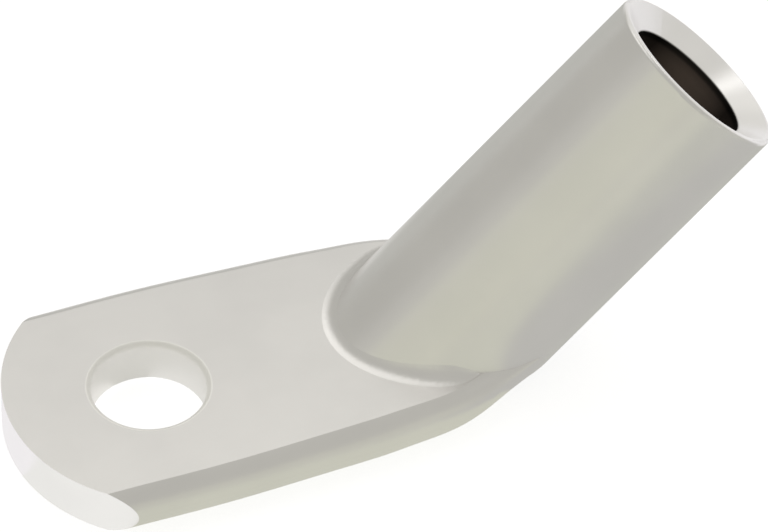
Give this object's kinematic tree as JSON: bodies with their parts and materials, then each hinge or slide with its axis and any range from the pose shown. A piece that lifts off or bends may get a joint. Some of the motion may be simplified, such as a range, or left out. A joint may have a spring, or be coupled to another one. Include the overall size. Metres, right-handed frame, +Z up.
{
  "type": "angled cable lug",
  "caption": "Tin-plated copper cable lug with a flat round-ended bolt palm and a hollow crimp barrel at 45 degrees to it, for bolting a thick cable to a terminal.",
  "frame": {"origin": "centre of the bolt hole on the underside of the palm", "axes": "+X from the bolt hole to the barrel, +Y across the palm, +Z up out of the palm, on the side that the barrel rises to"},
  "size_m": [0.0578, 0.0212, 0.0263],
  "materials": {
    "tinned_copper": "satin tin plating over copper"
  },
  "bodies": {
    "root": {"cable_lug": "tinned_copper"}
  },
  "joints": []
}
